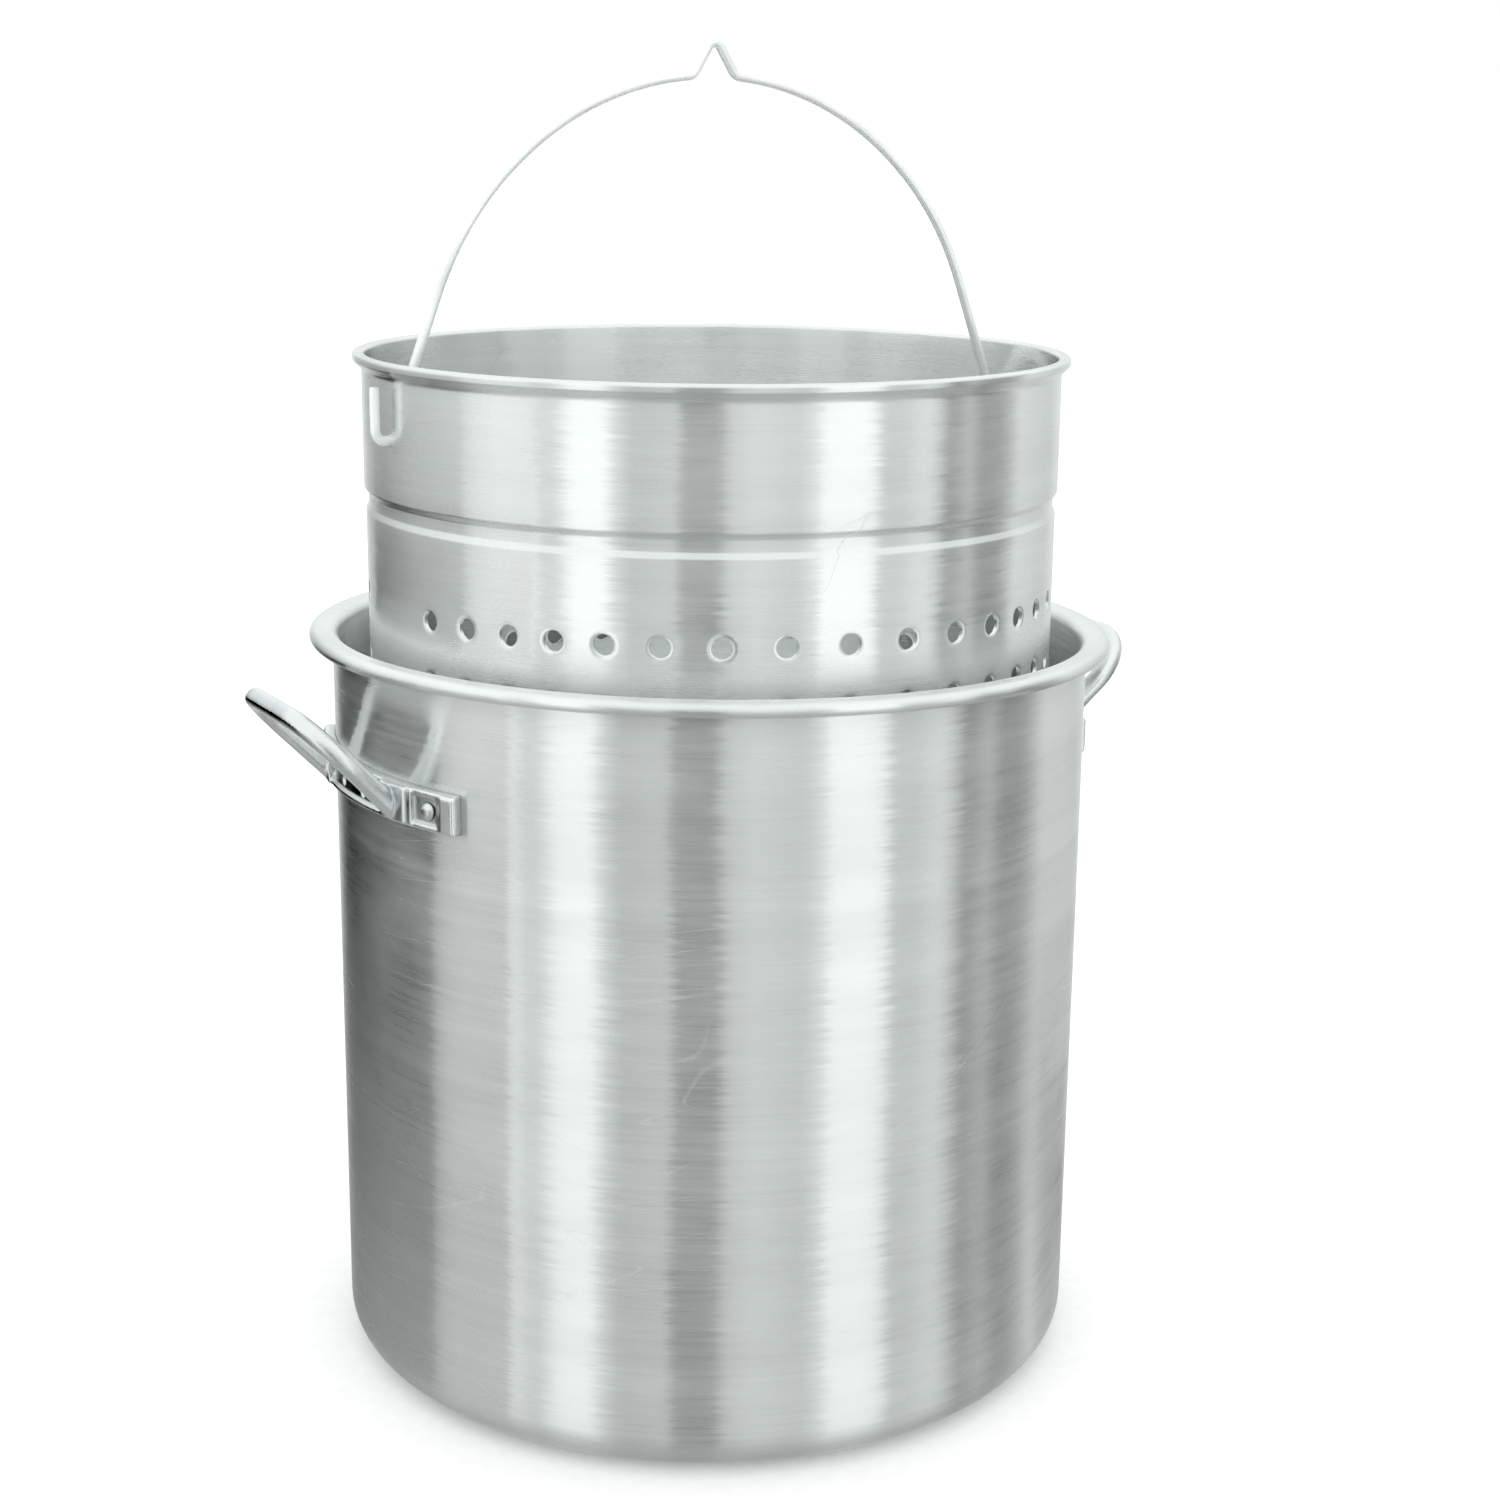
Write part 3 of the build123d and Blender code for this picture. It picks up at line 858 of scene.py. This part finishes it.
def brushed_aluminium(name, tint, roughness):
    """Aluminium brushed round the axis: streaky lines, light scratches and dull patches."""
    material, graph = new_material(name)
    place, flat, lathe = turned_coordinates(graph)
    fine = graph.noise(lathe, (7, 7, 1500), detail=3.0, roughness=0.65)
    medium = graph.noise(lathe, (4, 4, 330), detail=3.0, roughness=0.6)
    broad = graph.noise(lathe, (2.5, 2.5, 60), detail=2.0)
    patches = graph.noise(place, (14, 14, 22), detail=3.0, roughness=0.6)
    wobble = graph.noise(lathe, (16, 16, 420), detail=4.0, roughness=0.7)
    sway = graph.noise(place, (6, 6, 5), detail=1.0)
    lines = graph.math("ADD", graph.math("MULTIPLY", fine, 0.5), graph.math("MULTIPLY", medium, 0.5))
    level_marks = scratches(graph, place, (0.12, 0.08, 0.0), (3, 3, 75), 0.005)
    slant_marks = scratches(graph, place, (-0.75, 0.45, 0.2), (3, 3, 40), 0.0022)
    marks = graph.math("ADD", level_marks, slant_marks, clamp=True)
    shade = graph.remap(lines, 0.36, 0.64, 0.955, 1.03)
    shade = graph.math("MULTIPLY", shade, graph.remap(patches, 0.3, 0.7, 0.96, 1.03))
    shade = graph.math("MULTIPLY", shade, graph.remap(broad, 0.35, 0.65, 0.97, 1.03))
    rough = graph.remap(lines, 0.36, 0.64, roughness - 0.02, roughness + 0.03)
    rough = graph.math("ADD", rough, graph.remap(patches, 0.35, 0.7, -0.02, 0.04))
    rough = graph.math("ADD", rough, graph.math("MULTIPLY", marks, 0.10), clamp=True)
    shade = graph.math("ADD", shade, graph.math("MULTIPLY", marks, 0.08))
    color = graph.vector("MULTIPLY", tint, graph.grey(shade))
    bump = graph.add("ShaderNodeBump", {"Height": lines, "Strength": 0.20, "Distance": 0.00006})
    round_axis = graph.vector("NORMALIZE", graph.vector("CROSS_PRODUCT", (0, 0, 1), flat))
    quick_lean = graph.remap(wobble, 0.25, 0.75, -0.020, 0.020)
    slow_lean = graph.remap(sway, 0.3, 0.7, -0.006, 0.006)
    lean = graph.math("ADD", quick_lean, slow_lean)
    lean = graph.add("ShaderNodeVectorMath", {0: round_axis, "Scale": lean}, operation="SCALE").outputs[0]
    normal = graph.vector("NORMALIZE", graph.vector("ADD", bump.outputs[0], lean))
    tangent = brush_tangent(graph, flat)
    facing = {"Tangent": tangent, "Normal": normal}
    broad_rough = graph.math("MULTIPLY", rough, 1.15)
    broad_lobe = graph.add("ShaderNodeBsdfPrincipled", {
        "Base Color": color, "Metallic": 1.0, "Roughness": broad_rough, "Anisotropic": 1.0, **facing})
    tight_rough = graph.math("MULTIPLY", rough, 0.90)
    tight_lobe = graph.add("ShaderNodeBsdfAnisotropic", {
        "Color": color, "Roughness": tight_rough, "Anisotropy": -0.82, **facing}, distribution="GGX")
    lobes = {0: TIGHT_LOBE_SHARE, 1: broad_lobe.outputs[0], 2: tight_lobe.outputs[0]}
    graph.finish(graph.add("ShaderNodeMixShader", lobes))
    return material


def cast_aluminium(name, tint):
    """Tumbled casting: a fine pebbled skin, bright on its edges, and darker in its hollows and creases
    with painted shade.
    """
    material, graph = new_material(name)
    place = graph.add("ShaderNodeTexCoord").outputs["Object"]
    pebble = graph.noise(place, (900, 900, 900), detail=3.0, roughness=0.6)
    dimple = graph.noise(place, (210, 210, 210), detail=2.0)
    cloud = graph.noise(place, (45, 45, 45), detail=3.0)
    edge = graph.add("ShaderNodeNewGeometry").outputs["Pointiness"]
    wear = graph.remap(edge, 0.46, 0.56, 0.0, 1.0)
    shade = graph.remap(wear, 0.0, 1.0, 0.70, 1.05)
    shade = graph.math("MULTIPLY", shade, graph.remap(cloud, 0.3, 0.7, 0.92, 1.04))
    # Painted shade: ambient occlusion darkens the colour in creases, recesses and where the loop meets the
    # strip.
    painted_crease_shade = graph.add("ShaderNodeAmbientOcclusion", {"Distance": 0.007}, samples=6).outputs["AO"]
    shade = graph.math("MULTIPLY", shade, graph.remap(painted_crease_shade, 0.25, 0.85, 0.35, 1.0))
    color = graph.vector("MULTIPLY", tint, graph.grey(shade))
    rough = graph.remap(cloud, 0.3, 0.7, 0.20, 0.34)
    rough = graph.math("ADD", rough, graph.remap(wear, 0.0, 1.0, 0.08, -0.05))
    height = graph.math("ADD", graph.math("MULTIPLY", pebble, 0.35), dimple)
    bump = graph.add("ShaderNodeBump", {"Height": height, "Strength": 0.5, "Distance": 0.0003})
    shader = graph.add("ShaderNodeBsdfPrincipled", {
        "Base Color": color, "Metallic": 1.0, "Roughness": rough, "Normal": bump.outputs[0]})
    graph.finish(shader)
    return material


def bright_wire(name, tint):
    """Drawn wire: faint lengthwise draw marks, small nicks and a soft shine."""
    material, graph = new_material(name)
    place = graph.add("ShaderNodeTexCoord").outputs["Object"]
    draw = graph.noise(place, (25, 900, 25), detail=2.0, roughness=0.5)
    nicks = graph.noise(place, (160, 160, 160), detail=1.0)
    cloud = graph.noise(place, (30, 30, 30), detail=2.0)
    shade = graph.remap(draw, 0.3, 0.7, 0.88, 1.05)
    shade = graph.math("MULTIPLY", shade, graph.remap(cloud, 0.3, 0.7, 0.93, 1.04))
    color = graph.vector("MULTIPLY", tint, graph.grey(shade))
    rough = graph.remap(draw, 0.3, 0.7, 0.34, 0.46)
    rough = graph.math("ADD", rough, graph.remap(nicks, 0.6, 0.75, 0.0, 0.12))
    height = graph.math("ADD", draw, nicks)
    bump = graph.add("ShaderNodeBump", {"Height": height, "Strength": 0.15, "Distance": 0.00006})
    shader = graph.add("ShaderNodeBsdfPrincipled", {
        "Base Color": color, "Metallic": 0.5, "Roughness": rough, "Normal": bump.outputs[0]})
    graph.finish(shader)
    return material


def paper_floor():
    material, graph = new_material("studio_paper")
    place = graph.add("ShaderNodeTexCoord").outputs["Object"]
    grain = graph.noise(place, (120, 120, 120), detail=2.0)
    shade = graph.remap(grain, 0.3, 0.7, 0.90, 0.93)
    shader = graph.add("ShaderNodeBsdfDiffuse", {"Color": graph.grey(shade)})
    graph.finish(shader)
    return material


# ---------------------------------------------------------------- studio

# Brightness of the studio wall round the kettle, as (degrees from the camera, level).
# Each dark or bright stretch is a panel that the brushed metal mirrors as an upright band.
STUDIO_LEFT = [
    (-180, 0.95), (-164, 0.92), (-155, 0.46), (-146, 0.33), (-132, 0.38), (-112, 0.68), (-90, 0.88),
    (-71, 1.18), (-60, 1.14), (-56, 0.64), (-51, 0.72), (-46, 1.26), (-35, 1.30), (-31, 0.70), (-26, 0.42),
    (-21, 0.46), (-12, 0.54), (-9, 0.13), (0, 0.12),
]
STUDIO_RIGHT = [
    (0, 0.12), (2, 0.12), (6, 0.58), (14, 0.72), (28, 0.58), (34, 0.80), (36, 1.26), (53, 1.28),
    (56, 0.56), (64, 0.56), (73, 0.86), (78, 0.60), (81, 0.10), (86, 0.18), (91, 0.46), (97, 0.14),
    (107, 0.14), (113, 0.34), (118, 0.70), (146, 0.58), (160, 0.82), (180, 0.95),
]
OVERHEAD_LEVEL = 1.10
UNDERSIDE_LEVEL = 0.42
BASKET_LIFT = 0.22
MATT_LEVEL = 1.4
PANEL_COLOUR = (0.97, 1.0, 0.995, 1)
WHITE = (1, 1, 1, 1)
CARD_RADIUS = 1.1
CARD_COLUMNS = 40
CARD_ROWS = 13
PAPER_RADII = (0.02, 0.5, 2.0, 6.0, 14.0, 40.0)
PAPER_COLUMNS = 96


def level_ramp(graph, share, panels):
    """The brightness along one half turn of studio wall."""
    ramp = graph.add("ShaderNodeValToRGB", {0: share})
    stops = ramp.color_ramp.elements
    stops.remove(stops[1])
    first = panels[0][0]
    for index, (degrees, level) in enumerate(panels):
        stop = stops.new((degrees - first) / 180) if index else stops[0]
        stop.color = (level / 2, level / 2, level / 2, 1)
    return graph.math("MULTIPLY", ramp.outputs[0], 2.0)


def build_world():
    """White to the camera, even for matt things, and a wall of panels for shiny ones."""
    world = bpy.data.worlds.new("studio")
    bpy.context.scene.world = world
    world.use_nodes = True
    world.cycles.sampling_method = "NONE"
    graph = Graph(world.node_tree)
    direction = graph.add("ShaderNodeTexCoord").outputs["Generated"]
    split = graph.add("ShaderNodeSeparateXYZ", {0: direction})
    turn = graph.math("ARCTAN2", split.outputs[1], split.outputs[0])
    camera_turn = math.radians(CAMERA_AZIMUTH - 90)
    share = graph.math("DIVIDE", graph.math("SUBTRACT", turn, camera_turn), 2 * math.pi)
    share = graph.math("FRACT", graph.math("ADD", share, 0.5))
    halves = graph.math("MULTIPLY", share, 2.0)
    left = level_ramp(graph, halves, STUDIO_LEFT)
    right = level_ramp(graph, graph.math("SUBTRACT", halves, 1.0), STUDIO_RIGHT)
    is_right = graph.math("GREATER_THAN", share, 0.5)
    level = graph.add("ShaderNodeMix", {"Factor": is_right, 2: left, 3: right}).outputs[0]
    above = graph.remap(split.outputs[2], 0.05, 0.45, 0.0, 1.0)
    below = graph.remap(split.outputs[2], -0.35, -0.80, 0.0, 1.0)
    lift = graph.remap(split.outputs[2], -0.26, -0.08, 0.0, BASKET_LIFT)
    level = graph.math("ADD", lift, graph.math("MULTIPLY", level, graph.math("SUBTRACT", 1.0, lift)))
    level = graph.add("ShaderNodeMix", {"Factor": above, 2: level, 3: OVERHEAD_LEVEL}).outputs[0]
    level = graph.add("ShaderNodeMix", {"Factor": below, 2: level, 3: UNDERSIDE_LEVEL}).outputs[0]
    glossy = graph.add("ShaderNodeBackground", {"Color": PANEL_COLOUR, "Strength": level}).outputs[0]
    matt = graph.add("ShaderNodeBackground", {"Color": WHITE, "Strength": MATT_LEVEL}).outputs[0]
    seen = graph.add("ShaderNodeBackground", {"Color": WHITE, "Strength": 1.0}).outputs[0]
    path = graph.add("ShaderNodeLightPath").outputs
    shiny = graph.add("ShaderNodeMixShader", {0: path["Is Glossy Ray"], 1: matt, 2: glossy}).outputs[0]
    whole = graph.add("ShaderNodeMixShader", {0: path["Is Camera Ray"], 1: shiny, 2: seen}).outputs[0]
    graph.add("ShaderNodeOutputWorld", {"Surface": whole})


def glow_card(name, first, last, low, high, low_level, high_level):
    """A curved card that only shiny surfaces see; angles are degrees from the camera."""
    rows = []
    for z in np.linspace(low, high, CARD_ROWS):
        for degrees in np.linspace(first, last, CARD_COLUMNS):
            turn = math.radians(CAMERA_AZIMUTH - 90 + degrees)
            rows.append((CARD_RADIUS * math.cos(turn), CARD_RADIUS * math.sin(turn), z))
    faces = []
    for row in range(CARD_ROWS - 1):
        for column in range(CARD_COLUMNS - 1):
            start = row * CARD_COLUMNS + column
            faces.append((start, start + 1, start + CARD_COLUMNS + 1, start + CARD_COLUMNS))
    card = mesh_object(name, rows, faces)
    material, graph = new_material(name)
    split = graph.add("ShaderNodeSeparateXYZ", {0: graph.add("ShaderNodeTexCoord").outputs["Object"]})
    level = graph.remap(split.outputs[2], low, high, low_level, high_level)
    glow = graph.add("ShaderNodeEmission", {"Color": WHITE, "Strength": level})
    graph.finish(glow)
    material.cycles.emission_sampling = "NONE"
    card.data.materials.append(material)
    card.visible_camera = False
    card.visible_diffuse = False
    card.visible_shadow = False
    card.visible_transmission = False


def build_cards():
    """Cards low on both sides, mostly below what the basket's wall mirrors."""
    glow_card("left_flag", -140, -81, -0.7, 0.30, 0.56, -0.22)
    glow_card("left_scrim", -81, -55, -0.7, 0.30, 0.54, 0.46)
    glow_card("right_flag", 114, 148, -0.4, 0.06, 0.14, 0.70)


def build_floor():
    """A wide flat sheet of paper that matt light and the camera see, and mirrors don't."""
    angles = np.arange(PAPER_COLUMNS) * 2 * math.pi / PAPER_COLUMNS
    vertices = [(r * math.cos(turn), r * math.sin(turn), 0.0) for r in PAPER_RADII for turn in angles]
    faces = lathe_faces(len(PAPER_RADII), PAPER_COLUMNS, False)
    faces.append(tuple(range(PAPER_COLUMNS)))
    floor = mesh_object("studio_floor", vertices, faces)
    floor.data.materials.append(paper_floor())
    floor.visible_glossy = False


def build_camera():
    data = bpy.data.cameras.new("camera")
    camera = bpy.data.objects.new("camera", data)
    bpy.context.scene.collection.objects.link(camera)
    bpy.context.scene.camera = camera
    data.lens = CAMERA_LENS
    data.sensor_width = SENSOR_WIDTH
    data.clip_end = 100
    azimuth = math.radians(CAMERA_AZIMUTH)
    camera.location = (
        CAMERA_DISTANCE * math.sin(azimuth),
        -CAMERA_DISTANCE * math.cos(azimuth),
        CAMERA_HEIGHT,
    )
    turn = Matrix.Rotation(azimuth - math.radians(CAMERA_YAW), 4, "Z")
    tilt = Matrix.Rotation(math.radians(90 - CAMERA_PITCH), 4, "X")
    roll = Matrix.Rotation(math.radians(CAMERA_ROLL), 4, "Z")
    camera.rotation_euler = (turn @ tilt @ roll).to_euler()


# ---------------------------------------------------------------- the kettle

pot = build_pot()
basket = build_basket()
bail = build_bail()
handles = [build_handle("right_handle", 0), build_handle("left_handle", 180)]
rivets = [
    build_rivet("right_handle_rear_rivet", RIVET_ANGLE),
    build_rivet("right_handle_front_rivet", -RIVET_ANGLE),
    build_rivet("left_handle_rear_rivet", 180 - RIVET_ANGLE),
    build_rivet("left_handle_front_rivet", 180 + RIVET_ANGLE),
]

pot.data.materials.append(brushed_aluminium("pot_aluminium", POT_TINT, 0.25))
basket.data.materials.append(brushed_aluminium("basket_aluminium", BASKET_TINT, 0.24))
casting = cast_aluminium("cast_aluminium", CASTING_TINT)
for handle in handles:
    handle.data.materials.append(casting)
rivet_metal = cast_aluminium("rivet_aluminium", RIVET_TINT)
for rivet in rivets:
    rivet.data.materials.append(rivet_metal)
bail.data.materials.append(bright_wire("bail_wire", WIRE_TINT))

build_world()
build_cards()
build_floor()
build_camera()
bpy.context.scene.view_settings.view_transform = "Standard"
